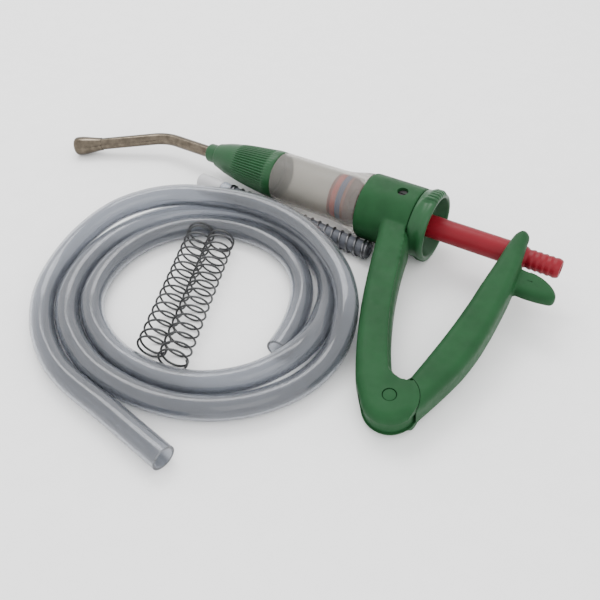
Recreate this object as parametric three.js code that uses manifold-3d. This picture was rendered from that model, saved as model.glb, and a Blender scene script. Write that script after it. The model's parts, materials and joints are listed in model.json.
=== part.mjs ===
// Livestock drench gun: a hand-squeezed dosing pump lying on its side, with its suction hose,
// two loose hose springs and a spring-armoured draw-off tube.
// Millimetres, +Z up. Every gun part is drawn in the gun's own frame: +X runs along the barrel
// to the hose barb, -Y points down the handles, and the gun lies on its -Z side.
import * as THREE from 'three';
import { mergeVertices } from 'three/addons/utils/BufferGeometryUtils.js';
import Module from 'manifold-3d';

const wasm = await Module();
wasm.setup();

// ---- driving dimensions -------------------------------------------------------------------
const GAP = 0.35;                    // clearance between pieces that touch
const FINE = 32;                     // sides of the large round parts
const COARSE = 16;                   // sides of the small round parts

// resting pose: the barrel slopes nose-down and the handles slope to the table
const PITCH = 0.0485;                // rise of the barrel axis per mm towards the barb
const ROLL = 0.1181;                 // drop per mm towards the handle pivot
const BARREL_HEIGHT = 21.25;         // barrel axis above the table where the cap meets the barrel

const BORE_R = 16.9;                 // barrel bore, so 50 mm of stroke moves about 45 ml
const BARREL_R = 18.9;
const FLANGE_R = 23.2;
const BARREL_FRONT = -6;
const SPIGOT_R = 17.3;               // the barrel's front end, inside the cap
const FLARE_START = 52;
const FLANGE_BACK = 76;

const CAP_FRONT = -71.5;
const CAP_NECK_R = 7.6;
const CAP_STEP = -62;

const HOUSING_FRONT = 76.4;
const HOUSING_BACK = 118;
const HOUSING_R = 24.6;
const HANDLE_HALF = 10.8;            // half thickness of the fixed handle
const PIVOT = new THREE.Vector2(168.5, -144);
const BOSS_R = 17.2;
const EYE_HALF = 5.2;                // half thickness of the lever's eye, between the cheeks
const PIN_R = 5;
const LOCK_X = 105;                 // lock screw that holds the dose ring in the housing
const LOCK_HOLE_R = 3.9;
const LOCK_GROOVE_R = 14.6;          // groove of the dose ring's tube that the lock screw runs in

const RING_FRONT = 118.4;
const RING_BACK = 131.6;
const RING_RIM_R = 25;
const RING_WAIST_R = 23.8;
const LUG_R = 26.6;
const LUG_TURN = 1.25;               // lugs sit this many radians off the handle plane

const ROD_R = 8.2;
const ROD_BORE_R = 3.6;
const ROD_END = 220.5;
const BARB_START = 197;
const TRUNNION_X = 189.3;
const TRUNNION_R = 3;
const TRUNNION_HALF = 10.9;          // half span over the two trunnion studs
const FORK_INNER = 9;                // half gap of the fork around the rod
const FORK_OUTER = 12.6;
const PISTON_FRONT = 51;

const NOZZLE_R = 4.9;
const NOZZLE_BORE_R = 3.1;
const BULB_R = 7.8;

const HOSE_R = 8;
const HOSE_LIFT = 0.15;              // keeps the faceted hose clear of the table
const COIL_X = 17.2;                 // centre of the hose coil on the table
const COIL_Y = -128;

// ---- shared helpers -----------------------------------------------------------------------
const group = new THREE.Group();
const gun = new THREE.Group();
group.add(gun);

const GREEN = { color: 0x2f6b3c, roughness: 0.45 };
const RED = { color: 0xa8262f, roughness: 0.4 };
const STEEL = { color: 0x8d8a84, roughness: 0.3, metalness: 1 };
const RUBBER = { color: 0x222222, roughness: 0.8 };
const WHITE = { color: 0xe4e4e0, roughness: 0.5 };

function addPart(parent, name, geometry, look) {
  const mesh = new THREE.Mesh(geometry, new THREE.MeshStandardMaterial(look));
  mesh.name = name;
  parent.add(mesh);
}

// Closed geometry to a manifold solid, for the boolean cuts.
function solid(geometry) {
  const bare = geometry.clone();
  bare.deleteAttribute('normal');
  bare.deleteAttribute('uv');
  const merged = mergeVertices(bare, 1e-4);
  const vertProperties = new Float32Array(merged.attributes.position.array);
  const triVerts = new Uint32Array(merged.index.array);
  return new wasm.Manifold(new wasm.Mesh({ numProp: 3, vertProperties, triVerts }));
}

function toGeometry(manifold) {
  const mesh = manifold.getMesh();
  const geometry = new THREE.BufferGeometry();
  geometry.setAttribute('position', new THREE.BufferAttribute(mesh.vertProperties, mesh.numProp));
  geometry.setIndex(new THREE.BufferAttribute(mesh.triVerts, 1));
  return geometry;
}

// Solid of revolution about X. The profile is [x, radius] pairs along the outside with x rising.
function turned(profile, sides = FINE) {
  const points = profile.map(([x, r]) => new THREE.Vector2(r, x));
  return new THREE.LatheGeometry(points, sides).rotateZ(-Math.PI / 2);
}

// A sleeve: its outside profile with x rising, then its bore profile with x falling, closed.
function sleeve(outside, bore, sides = FINE) {
  return turned([...outside, ...bore, outside[0]], sides);
}

function rodX(x0, x1, radius, sides = COARSE) {
  return turned([[x0, 0], [x0, radius], [x1, radius], [x1, 0]], sides);
}

function rodZ(centre, z0, z1, radius, sides = COARSE) {
  const geometry = new THREE.CylinderGeometry(radius, radius, z1 - z0, sides);
  return geometry.rotateX(Math.PI / 2).translate(centre.x, centre.y, (z0 + z1) / 2);
}

function box(x0, x1, y0, y1, z0, z1) {
  const geometry = new THREE.BoxGeometry(x1 - x0, y1 - y0, z1 - z0);
  return geometry.translate((x0 + x1) / 2, (y0 + y1) / 2, (z0 + z1) / 2);
}

// Plate in the handle plane with rounded edges, its outline drawn in X and Y.
function plate(shape, half, rounding, curveSegments) {
  const options = {
    depth: 2 * (half - rounding),
    bevelEnabled: true,
    bevelThickness: rounding,
    bevelSize: rounding,
    bevelOffset: -rounding,
    bevelSegments: 2,
    curveSegments,
  };
  return new THREE.ExtrudeGeometry(shape, options).translate(0, 0, rounding - half);
}

class Path extends THREE.Curve {
  constructor(at) {
    super();
    this.at = at;
  }

  getPoint(t) {
    return this.at(t);
  }
}

function circleShape(radius, sides, holeRadius = 0) {
  const ring = (r) => Array.from({ length: sides }, (_, i) => {
    const angle = (i / sides) * 2 * Math.PI;
    return new THREE.Vector2(r * Math.cos(angle), r * Math.sin(angle));
  });
  const shape = new THREE.Shape(ring(radius));
  if (holeRadius > 0) shape.holes.push(new THREE.Path(ring(holeRadius)));
  return shape;
}

function swept(curve, steps, radius, sides, holeRadius = 0) {
  const options = { steps, extrudePath: curve, bevelEnabled: false };
  return new THREE.ExtrudeGeometry(circleShape(radius, sides, holeRadius), options);
}

// Coil spring about X from x0 to x1, as one closed wire.
function coil(x0, x1, meanRadius, wireRadius, turns, stepsPerTurn, sides) {
  const at = (t) => {
    const angle = t * turns * 2 * Math.PI;
    const x = x0 + wireRadius + t * (x1 - x0 - 2 * wireRadius);
    return new THREE.Vector3(x, meanRadius * Math.cos(angle), meanRadius * Math.sin(angle));
  };
  return swept(new Path(at), Math.round(turns * stepsPerTurn), wireRadius, sides);
}

function ringSeal(x, width, outerR, innerR, sides = FINE) {
  return sleeve([[x, outerR], [x + width, outerR]], [[x + width, innerR], [x, innerR]], sides);
}

// ---- nozzle -------------------------------------------------------------------------------
const BEND_VERTEX_X = -118;
const BEND_RADIUS = 38;
const BEND_ANGLE = 0.567;            // 32.5 degrees towards the handle side
const NOZZLE_LENGTH = 81;            // bend vertex to the end of the bulb
const BULB_LENGTH = 24;

// Distance past the bend vertex to a point on the tube's front run.
function frontRun(distance) {
  return new THREE.Vector3(
    BEND_VERTEX_X - distance * Math.cos(BEND_ANGLE),
    -distance * Math.sin(BEND_ANGLE),
    0,
  );
}

function nozzleCurve(endDistance) {
  const tangent = BEND_RADIUS * Math.tan(BEND_ANGLE / 2);
  const path = new THREE.CurvePath();
  const start = new THREE.Vector3(-59, 0, 0);
  const bendStart = new THREE.Vector3(BEND_VERTEX_X + tangent, 0, 0);
  const vertex = new THREE.Vector3(BEND_VERTEX_X, 0, 0);
  const bendEnd = frontRun(tangent);
  path.add(new THREE.LineCurve3(start, bendStart));
  path.add(new THREE.QuadraticBezierCurve3(bendStart, vertex, bendEnd));
  path.add(new THREE.LineCurve3(bendEnd, frontRun(endDistance)));
  return path;
}

function addNozzle() {
  const tube = swept(nozzleCurve(NOZZLE_LENGTH - 6), 15, NOZZLE_R, 12, NOZZLE_BORE_R);
  addPart(gun, 'nozzle_tube', tube, STEEL);

  const skirt = NOZZLE_R + GAP;
  const outside = [
    [0, 4.2], [1.4, 6.6], [4, BULB_R], [9, BULB_R], [15, 6.9], [BULB_LENGTH, skirt + 0.5],
  ];
  const bore = [[BULB_LENGTH, skirt], [6 - GAP, skirt], [6 - GAP, NOZZLE_BORE_R], [0, NOZZLE_BORE_R]];
  const bulb = sleeve(outside, bore, 20).rotateZ(BEND_ANGLE);
  const end = frontRun(NOZZLE_LENGTH);
  addPart(gun, 'nozzle_tip', bulb.translate(end.x, end.y, end.z), STEEL);

  const ferrule = sleeve([[-58.6, 8.2], [-52, 8.2]], [[-52, NOZZLE_BORE_R], [-58.6, NOZZLE_BORE_R]], COARSE);
  addPart(gun, 'nozzle_ferrule', ferrule, STEEL);
  addPart(gun, 'nozzle_o_ring', ringSeal(-51.6, 2.4, 8.2, 5, COARSE), RUBBER);
}

// ---- front cap and outlet valve -----------------------------------------------------------
const FLUTE_COUNT = 24;
const FLUTE_DEPTH = 0.6;
const FLUTE_START = -41;
const FLUTE_END = -9.5;

function addFrontCap() {
  const smooth = [
    [CAP_FRONT, 6.4], [CAP_FRONT + 1, CAP_NECK_R], [CAP_STEP, CAP_NECK_R], [CAP_STEP, 9],
    [-59, 10.3], [-52, 12.5], [FLUTE_START, 14.5],
  ];
  const fluted = [[FLUTE_START + 2, 14.9], [-22, 17.3], [FLUTE_END - 1, 18.6]];
  const rim = [[FLUTE_END, BARREL_R], [-0.4, BARREL_R]];
  const outside = [...smooth, ...fluted, ...rim];
  const spigot = SPIGOT_R + GAP;
  const bore = [
    [-0.4, spigot], [-8.3, spigot], [-8.3, 14.4], [-30, 12.4], [-30, 8.6], [-59.1, 8.6],
    [-59.1, NOZZLE_R + GAP], [CAP_FRONT, NOZZLE_R + GAP],
  ];
  const cap = sleeve(outside, bore, 2 * FLUTE_COUNT);
  const position = cap.attributes.position;
  const rows = outside.length + bore.length + 1;
  for (let i = 0; i < position.count; i += 1) {
    const row = i % rows;
    const column = Math.floor(i / rows);
    const inFlute = row >= smooth.length && row < smooth.length + fluted.length;
    if (inFlute && column % 2 === 1) {
      const y = position.getY(i);
      const z = position.getZ(i);
      const scale = 1 - FLUTE_DEPTH / Math.hypot(y, z);
      position.setXYZ(i, position.getX(i), y * scale, z * scale);
    }
  }
  addPart(gun, 'front_cap', cap, GREEN);
}

function addOutletValve() {
  const seat = sleeve([[-29.6, 12], [-24, 12]], [[-24, 3.4], [-26, 3.4], [-29.6, 5.4]], COARSE);
  addPart(gun, 'outlet_valve_seat', seat, WHITE);
  const ball = new THREE.SphereGeometry(4.6, 12, 8).translate(-33.6, 0, 0);
  addPart(gun, 'outlet_valve_ball', ball, STEEL);
  addPart(gun, 'outlet_valve_spring', coil(-48.8, -41.2, 3.6, 0.5, 4, 8, 4), STEEL);
}

// ---- barrel -------------------------------------------------------------------------------
function addBarrel() {
  const outside = [
    [BARREL_FRONT, SPIGOT_R], [0, SPIGOT_R], [0, BARREL_R], [FLARE_START, BARREL_R + 0.4],
    [62, 20.6], [71, FLANGE_R], [FLANGE_BACK, FLANGE_R],
    [FLANGE_BACK, BARREL_R + 0.2], [84, BARREL_R + 0.2],
  ];
  const bore = [
    [84, BORE_R], [-0.5, BORE_R], [-1.5, BORE_R - 1.8], [BARREL_FRONT, BORE_R - 1.8],
  ];
  const barrel = sleeve(outside, bore);
  addPart(gun, 'barrel', barrel, { color: 0xb6b3ac, roughness: 0.5, transparent: true, opacity: 0.5 });
  addPart(gun, 'barrel_seal', ringSeal(BARREL_FRONT - 1.9, 1.6, SPIGOT_R, 15.1, 24), RUBBER);
}

// ---- housing with the fixed handle --------------------------------------------------------
function handleShape() {
  const shape = new THREE.Shape();
  shape.moveTo(92, -8);
  shape.lineTo(101, -31);
  shape.bezierCurveTo(109, -60, 121.5, -101, 144.5, -141.5);
  shape.absarc(PIVOT.x, PIVOT.y, BOSS_R, Math.PI * 1.22, Math.PI * 2.39, false);
  shape.bezierCurveTo(171, -128.4, 165.5, -129.8, 160.8, -125.8);
  shape.bezierCurveTo(140, -90, 131, -57, 124.8, -31);
  shape.lineTo(114, -8);
  return shape;
}

function addHousing() {
  const chamfer = 1.2;
  const collar = rodXChamfered(HOUSING_FRONT, HOUSING_BACK, HOUSING_R, chamfer);
  let body = solid(plate(handleShape(), HANDLE_HALF, 4.5, 5)).add(solid(collar));
  const cuts = [
    rodX(HOUSING_FRONT - 1, 85, BARREL_R + 0.2 + GAP, FINE),
    rodX(84.9, LOCK_X + 5, 20, FINE),
    rodX(LOCK_X + 4.9, HOUSING_BACK + 1, 17, FINE),
    rodX(HOUSING_BACK + 0.05, RING_BACK + 3, LUG_R + 0.8, FINE),
    rodZ(PIVOT, -EYE_HALF - GAP, EYE_HALF + GAP, BOSS_R + 2, 24),
    rodZ(PIVOT, -HANDLE_HALF - 1, HANDLE_HALF + 1, PIN_R + GAP),
    rodZ(new THREE.Vector2(LOCK_X, 0), 10, HOUSING_R + 2, LOCK_HOLE_R),
  ];
  for (const cut of cuts) body = body.subtract(solid(cut));
  addPart(gun, 'pistol_housing', toGeometry(body), GREEN);
}

function rodXChamfered(x0, x1, radius, chamfer) {
  const profile = [[x0, 0], [x0, radius - chamfer], [x0 + chamfer, radius], [x1, radius], [x1, 0]];
  return turned(profile);
}

function addHousingFittings() {
  const lock = new THREE.Vector2(LOCK_X, 0);
  const pin = solid(rodZ(lock, LOCK_GROOVE_R + GAP, HOUSING_R - 1.6, LOCK_HOLE_R - GAP));
  const slot = solid(box(LOCK_X - 5, LOCK_X + 5, -0.5, 0.5, HOUSING_R - 2.6, HOUSING_R));
  addPart(gun, 'lock_pin', toGeometry(pin.subtract(slot)), STEEL);

  addPart(gun, 'rod_guide', ringSeal(86, 6, 19.6, ROD_R + 0.5, 24), WHITE);

  const span = HANDLE_HALF - 1.2;
  const head = solid(rodZ(PIVOT, -span, span, PIN_R));
  addPart(gun, 'pivot_pin', toGeometry(head), GREEN);
}

// ---- dose ring ----------------------------------------------------------------------------
const LUG_HALF_ANGLE = 0.42;
const LUG_GROOVES = 5;
const LUG_GROOVE_STEP = 0.11;

function lugPrism(angle, innerR, outerR, x0, x1, halfAngle) {
  const shape = new THREE.Shape();
  const steps = 6;
  for (let i = 0; i <= steps; i += 1) {
    const a = angle - halfAngle + (2 * halfAngle * i) / steps;
    const edge = Math.abs(i - steps / 2) === steps / 2 ? outerR - 2.2 : outerR;
    const point = [edge * Math.cos(a), edge * Math.sin(a)];
    if (i === 0) shape.moveTo(...point);
    else shape.lineTo(...point);
  }
  shape.lineTo(innerR * Math.cos(angle + halfAngle), innerR * Math.sin(angle + halfAngle));
  shape.lineTo(innerR * Math.cos(angle - halfAngle), innerR * Math.sin(angle - halfAngle));
  const geometry = new THREE.ExtrudeGeometry(shape, { depth: x1 - x0, bevelEnabled: false });
  // the section's first axis becomes Y and its second axis becomes Z
  const basis = new THREE.Matrix4().makeBasis(
    new THREE.Vector3(0, 1, 0),
    new THREE.Vector3(0, 0, 1),
    new THREE.Vector3(1, 0, 0),
  );
  return geometry.applyMatrix4(basis).translate(x0, 0, 0);
}

function addDoseRing() {
  const outside = [
    [RING_FRONT, HOUSING_R - 1], [RING_FRONT + 1, HOUSING_R], [RING_FRONT + 3, HOUSING_R],
    [RING_FRONT + 4.5, RING_WAIST_R], [RING_BACK - 6, RING_WAIST_R],
    [RING_BACK - 4.5, RING_RIM_R], [RING_BACK - 1.8, RING_RIM_R], [RING_BACK, RING_RIM_R - 1.8],
  ];
  const bore = [
    [RING_BACK, 21.4], [RING_FRONT + 3, 20], [RING_FRONT + 3, ROD_R + 1], [RING_FRONT, ROD_R + 1],
  ];
  let ring = solid(sleeve(outside, bore));
  for (const side of [0, Math.PI]) {
    const angle = LUG_TURN + side;
    const lug = lugPrism(angle, 22.6, LUG_R, RING_FRONT + 2.5, RING_BACK - 1.4, LUG_HALF_ANGLE);
    ring = ring.add(solid(lug));
    for (let i = 0; i < LUG_GROOVES; i += 1) {
      const a = angle + (i - (LUG_GROOVES - 1) / 2) * LUG_GROOVE_STEP;
      const y = LUG_R * Math.cos(a);
      const z = LUG_R * Math.sin(a);
      const groove = box(RING_BACK - 9, RING_BACK - 3, y - 0.5, y + 0.5, z - 0.5, z + 0.5);
      ring = ring.subtract(solid(groove));
    }
  }
  const tube = sleeve(
    [
      [94, 16.6], [LOCK_X - 4.4, 16.6], [LOCK_X - 4.4, LOCK_GROOVE_R],
      [LOCK_X + 4.4, LOCK_GROOVE_R], [LOCK_X + 4.4, 16.6], [RING_FRONT + 1, 16.6],
    ],
    [[RING_FRONT + 1, ROD_R + 1], [94, ROD_R + 1]],
  );
  addPart(gun, 'dose_ring', toGeometry(ring.add(solid(tube))), GREEN);
}

// ---- plunger: rod, piston and seals -------------------------------------------------------
function addPlunger() {
  const outside = [[PISTON_FRONT + 14, ROD_R], [BARB_START - 2, ROD_R], [BARB_START, 7.4]];
  const ridges = 4;
  const pitch = (ROD_END - 3 - BARB_START) / ridges;
  for (let i = 0; i < ridges; i += 1) {
    const x = BARB_START + i * pitch;
    outside.push([x + 0.4, 6.2], [x + pitch, 6.9]);
  }
  outside.push([ROD_END - 2.2, 6.4], [ROD_END, 5.6]);
  const seat = PISTON_FRONT + 14;
  const bore = [[ROD_END, ROD_BORE_R], [seat + 3, ROD_BORE_R], [seat, 2.6]];
  let rod = solid(sleeve(outside, bore, 20));
  for (const side of [-1, 1]) {
    const centre = new THREE.Vector2(TRUNNION_X, 0);
    const ends = [side * (ROD_R - 2), side * TRUNNION_HALF].sort((p, q) => p - q);
    rod = rod.add(solid(rodZ(centre, ends[0], ends[1], TRUNNION_R, 12)));
  }
  addPart(gun, 'piston_rod', toGeometry(rod), RED);

  // the head is one spool: a crown in front, a stem through both seals, and a skirt behind
  const front = PISTON_FRONT;
  const head = sleeve(
    [
      [front - 0.6, 16], [front + 0.6, 16], [front + 0.6, 13], [front + 8, 13],
      [front + 8, 16.2], [front + 13.6, 16.2],
    ],
    [[front + 13.6, 4.6], [front + 1, 4.6], [front + 0.6, 3], [front - 0.6, 3]],
    28,
  );
  addPart(gun, 'piston_head', head, { color: 0x8a4f45, roughness: 0.5 });
  const orange = ringSeal(front + 0.9, 3.2, BORE_R - 0.4, 13.35, 28);
  addPart(gun, 'piston_seal_front', orange, { color: 0xc75a3a, roughness: 0.6 });
  const blue = ringSeal(front + 4.5, 3.2, BORE_R - 0.4, 13.35, 28);
  addPart(gun, 'piston_seal_rear', blue, { color: 0x6f7488, roughness: 0.6 });
  const ball = new THREE.SphereGeometry(3.6, 12, 8).translate(front + 11.1, 0, 0);
  addPart(gun, 'inlet_valve_ball', ball, STEEL);
  addPart(gun, 'inlet_valve_spring', coil(front + 1.3, front + 5.3, 3.9, 0.4, 2, 8, 4), STEEL);
}

// ---- lever --------------------------------------------------------------------------------
const SPUR_HALF = 5.5;
const POCKET_HALF = 2.4;             // pocket in the lever's eye for the return spring
const POCKET_R = 10.4;

function leverShape() {
  const shape = new THREE.Shape();
  shape.moveTo(172.5, -131);
  shape.lineTo(172.9, -126.4);
  shape.bezierCurveTo(176.8, -100, 180.6, -70, 181.2, -45);
  shape.lineTo(183, -14);
  shape.quadraticCurveTo(183.4, 1, 185, 7);
  shape.quadraticCurveTo(187, 12, 190.4, 10.8);
  shape.quadraticCurveTo(194, 9, 194.8, 2.5);
  shape.lineTo(199, -18);
  shape.lineTo(200.4, -38);
  shape.bezierCurveTo(201.4, -66, 201.5, -90, 196.5, -110);
  shape.quadraticCurveTo(192.5, -126, 185.4, -147);
  shape.lineTo(180, -146);
  return shape;
}

// Thumb spur: a thin leaf in the middle of the lever, behind the fork.
function spurShape() {
  const shape = new THREE.Shape();
  shape.moveTo(188, -17);
  shape.lineTo(197, -13.4);
  shape.quadraticCurveTo(209, -12.2, 217, -16.8);
  shape.quadraticCurveTo(225, -21.4, 226, -26.8);
  shape.quadraticCurveTo(226.2, -30.4, 221, -31);
  shape.quadraticCurveTo(211, -33, 199, -32);
  shape.lineTo(190, -32);
  return shape;
}

// Half thickness of the lever at a height above or below the rod: slim grip, wide fork.
function leverHalf(y) {
  const t = THREE.MathUtils.smoothstep(y, -95, -30);
  return THREE.MathUtils.lerp(HANDLE_HALF, FORK_OUTER, t);
}

function addLever() {
  const body = plate(leverShape(), 1, 0.45, 4);
  const position = body.attributes.position;
  for (let i = 0; i < position.count; i += 1) {
    position.setZ(i, position.getZ(i) * leverHalf(position.getY(i)));
  }
  const eyeR = BOSS_R - 1.4;
  let lever = solid(body);
  lever = lever.subtract(solid(rodZ(PIVOT, -20, 20, BOSS_R + GAP)));
  const web = new THREE.Shape();
  web.moveTo(PIVOT.x + 2, PIVOT.y + eyeR - 0.3);
  web.lineTo(179, -114);
  web.lineTo(190, -120);
  web.lineTo(PIVOT.x + eyeR + 0.6, PIVOT.y + 1.5);
  web.lineTo(PIVOT.x, PIVOT.y);
  const options = { depth: 2 * EYE_HALF, bevelEnabled: false };
  const webSolid = solid(new THREE.ExtrudeGeometry(web, options).translate(0, 0, -EYE_HALF));
  lever = lever.add(webSolid).add(solid(rodZ(PIVOT, -EYE_HALF, EYE_HALF, eyeR)));
  const cuts = [
    rodZ(PIVOT, -20, 20, PIN_R + GAP),
    rodZ(PIVOT, -POCKET_HALF, POCKET_HALF, POCKET_R),
    forkSlot(),
    trunnionSlot(),
  ];
  for (const cut of cuts) lever = lever.subtract(solid(cut));
  lever = lever.add(solid(plate(spurShape(), SPUR_HALF, 2.4, 4)));
  addPart(gun, 'squeeze_lever', toGeometry(lever), GREEN);
  const springHalf = POCKET_HALF - GAP;
  const spring = coil(-springHalf, springHalf, 7.8, 0.7, 2, 10, 4).rotateY(Math.PI / 2);
  addPart(gun, 'lever_return_spring', spring.translate(PIVOT.x, PIVOT.y, 0), STEEL);
}

// The gap between the tines, which the rod runs through.
function forkSlot() {
  const shape = new THREE.Shape();
  shape.moveTo(170, 30);
  shape.lineTo(170, -13);
  shape.lineTo(205, -15.8);
  shape.lineTo(205, 30);
  const options = { depth: 2 * FORK_INNER, bevelEnabled: false };
  return new THREE.ExtrudeGeometry(shape, options).translate(0, 0, -FORK_INNER);
}

// Long groove along the inside of each tine that lets the trunnion slide as the lever swings.
function trunnionSlot() {
  const half = TRUNNION_R + GAP;
  const grooveHalf = TRUNNION_HALF + GAP;
  const outerEnd = 2.8;
  const innerEnd = -1.6;
  const shape = new THREE.Shape();
  shape.absarc(0, outerEnd, half, 0, Math.PI, false);
  shape.absarc(0, innerEnd, half, Math.PI, 2 * Math.PI, false);
  const options = { depth: 2 * grooveHalf, bevelEnabled: false, curveSegments: 5 };
  const lean = -Math.atan2(TRUNNION_X - PIVOT.x, -PIVOT.y);
  const groove = new THREE.ExtrudeGeometry(shape, options).rotateZ(lean);
  return groove.translate(TRUNNION_X, 0, -grooveHalf);
}

// ---- hose coil ----------------------------------------------------------------------------
// The hose winds anticlockwise from its inner end. Each row is [turn angle in degrees,
// radius, height of the hose axis above the table]; the raised rows are where it crosses itself.
const HOSE_COIL = [
  [-10.5, 72.4, 8], [-3, 70.6, 8], [6, 68.8, 8], [20, 67.9, 8], [40, 69, 8], [60, 70.8, 8],
  [90, 71, 8], [110, 71.6, 8], [130, 73.4, 8], [150, 73.6, 8], [217, 73.8, 8], [240, 71.4, 8],
  [270, 70.6, 8], [290, 72.8, 8.2], [305, 76, 9.2], [319, 79.4, 11], [331, 83, 13.4],
  [341, 85.8, 15.8], [350, 87.6, 17.4], [357, 87.8, 16.8], [365, 86.6, 13.8], [375, 85.5, 10.6],
  [385, 86, 8.8], [398, 88.2, 8.1], [412, 88.6, 8], [430, 87.4, 8], [450, 87, 8], [470, 88.2, 8],
  [490, 90, 8], [540, 90.8, 8], [578, 90.2, 8], [600, 87.7, 8], [630, 87, 8], [650, 89.6, 8],
  [670, 94.4, 8], [685, 98.2, 8], [700, 101.2, 8], [710, 102.8, 8.2], [720, 103.4, 10.4],
  [730, 102.6, 16.8], [740, 100, 21], [750, 96.6, 22.6], [757, 94, 23.4], [770, 89, 24.4],
  [790, 85.5, 24.5], [810, 84.5, 24.5], [830, 85, 24.5], [845, 87.4, 24.5], [855, 92, 24.5],
  [870, 97.4, 23.5], [885, 102.6, 20.6], [900, 107, 14], [915, 108, 9.5], [930, 107.7, 8],
  [945, 105.9, 8], [960, 104.6, 8], [975, 103.6, 8],
];
const HOSE_TAIL = [[27, -232.9, 8], [52, -236.6, 8], [77, -240.3, 8]];
const HOSE_TURN_STEP = 15;           // degrees between the points of the hose's route

// Radius and height of the hose axis at a turn angle, between the rows on either side of it.
function coilRow(degrees) {
  const next = Math.max(1, HOSE_COIL.findIndex((row) => row[0] >= degrees));
  const [angle0, radius0, height0] = HOSE_COIL[next - 1];
  const [angle1, radius1, height1] = HOSE_COIL[next];
  const t = (degrees - angle0) / (angle1 - angle0);
  return [THREE.MathUtils.lerp(radius0, radius1, t), THREE.MathUtils.lerp(height0, height1, t)];
}

function hoseRoute() {
  const first = HOSE_COIL[0][0];
  const last = HOSE_COIL[HOSE_COIL.length - 1][0];
  const count = Math.round((last - first) / HOSE_TURN_STEP);
  const route = [];
  for (let i = 0; i <= count; i += 1) {
    const degrees = first + ((last - first) * i) / count;
    const [radius, height] = coilRow(degrees);
    const angle = THREE.MathUtils.degToRad(degrees);
    const x = COIL_X + radius * Math.cos(angle);
    const y = COIL_Y + radius * Math.sin(angle);
    route.push(new THREE.Vector3(x, y, height + HOSE_LIFT));
  }
  for (const [x, y, z] of HOSE_TAIL) route.push(new THREE.Vector3(x, y, z + HOSE_LIFT));
  return route;
}

function addHose() {
  const curve = new THREE.CatmullRomCurve3(hoseRoute(), false, 'centripetal');
  const look = { color: 0x9aa0aa, roughness: 0.2 };
  addPart(group, 'hose', swept(curve, 76, HOSE_R, 8), look);
}

// ---- loose springs and armoured tube ------------------------------------------------------
// The two loose springs lie side by side with their coils meshed into each other.
const LOOSE_SPRING_R = 10.2;
const LOOSE_SPRING_TURN = 7.56;      // rise of one turn, the same on both
const LOOSE_SPRING_ANGLE = Math.atan2(-107, 41.8);

function addLooseSpring(name, start, length, phase) {
  const wire = 0.75;
  const turns = (length - 2 * wire) / LOOSE_SPRING_TURN;
  const spring = coil(0, length, LOOSE_SPRING_R - wire, wire, turns, 8, 4);
  spring.rotateX(phase);
  spring.rotateZ(LOOSE_SPRING_ANGLE);
  addPart(group, name, spring.translate(start[0], start[1], LOOSE_SPRING_R + 0.1), STEEL);
}

const ARMOUR_R = 7.2;
const ARMOUR_TUBE_R = 5.2;
const ARMOUR_LENGTH = 127;

function addArmouredTube() {
  const assembly = new THREE.Group();
  assembly.position.set(-34, -24.4, ARMOUR_R + 0.1);
  assembly.rotation.z = -0.024;
  group.add(assembly);
  const tube = ringSeal(0.4, ARMOUR_LENGTH, ARMOUR_TUBE_R, 3.4, COARSE);
  addPart(assembly, 'armoured_tube', tube, { color: 0x8d9096, roughness: 0.4 });
  const wire = 0.65;
  const armour = coil(0.6, ARMOUR_LENGTH - 0.4, ARMOUR_R - wire, wire, 21, 8, 4);
  addPart(assembly, 'armour_spring', armour, STEEL);
  const tip = sleeve(
    [[-30, 4.4], [-29, 6], [-26, 6.5], [-7, 6.7]],
    [[-7, 3.4], [-30, 3.4]],
    20,
  );
  addPart(assembly, 'draw_off_tip', tip, WHITE);
  const collar = sleeve([[-6.6, 6.8], [0, 6.2]], [[0, 3.4], [-6.6, 3.4]], 20);
  addPart(assembly, 'tip_collar', collar, { color: 0xaeb6c2, roughness: 0.3 });
}

// ---- assembly -----------------------------------------------------------------------------
addNozzle();
addFrontCap();
addOutletValve();
addBarrel();
addHousing();
addHousingFittings();
addDoseRing();
addPlunger();
addLever();
addHose();
addLooseSpring('hose_spring_front', [-21.2, -77], 114.9, 0);
addLooseSpring('hose_spring_back', [-4.1, -75.9], 117.5, 4.32);
addArmouredTube();

// Lay the gun down: pitch it nose-down, then roll its handles to the table.
gun.rotation.set(Math.atan(ROLL), -Math.atan(PITCH), 0, 'XYZ');
gun.position.z = BARREL_HEIGHT;

// The part's origin is the bottom centre of the box around everything except the hose.
const part = new THREE.Group();
part.add(group);
part.updateMatrixWorld(true);
const reach = new THREE.Box3();
group.traverse((object) => {
  if (object.isMesh && object.name !== 'hose') reach.expandByObject(object, true);
});
const centre = reach.getCenter(new THREE.Vector3());
group.position.set(-centre.x, -centre.y, -reach.min.z);

export default part;
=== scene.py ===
import json
import math

import bmesh
import bpy
from mathutils import Matrix, Vector


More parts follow.
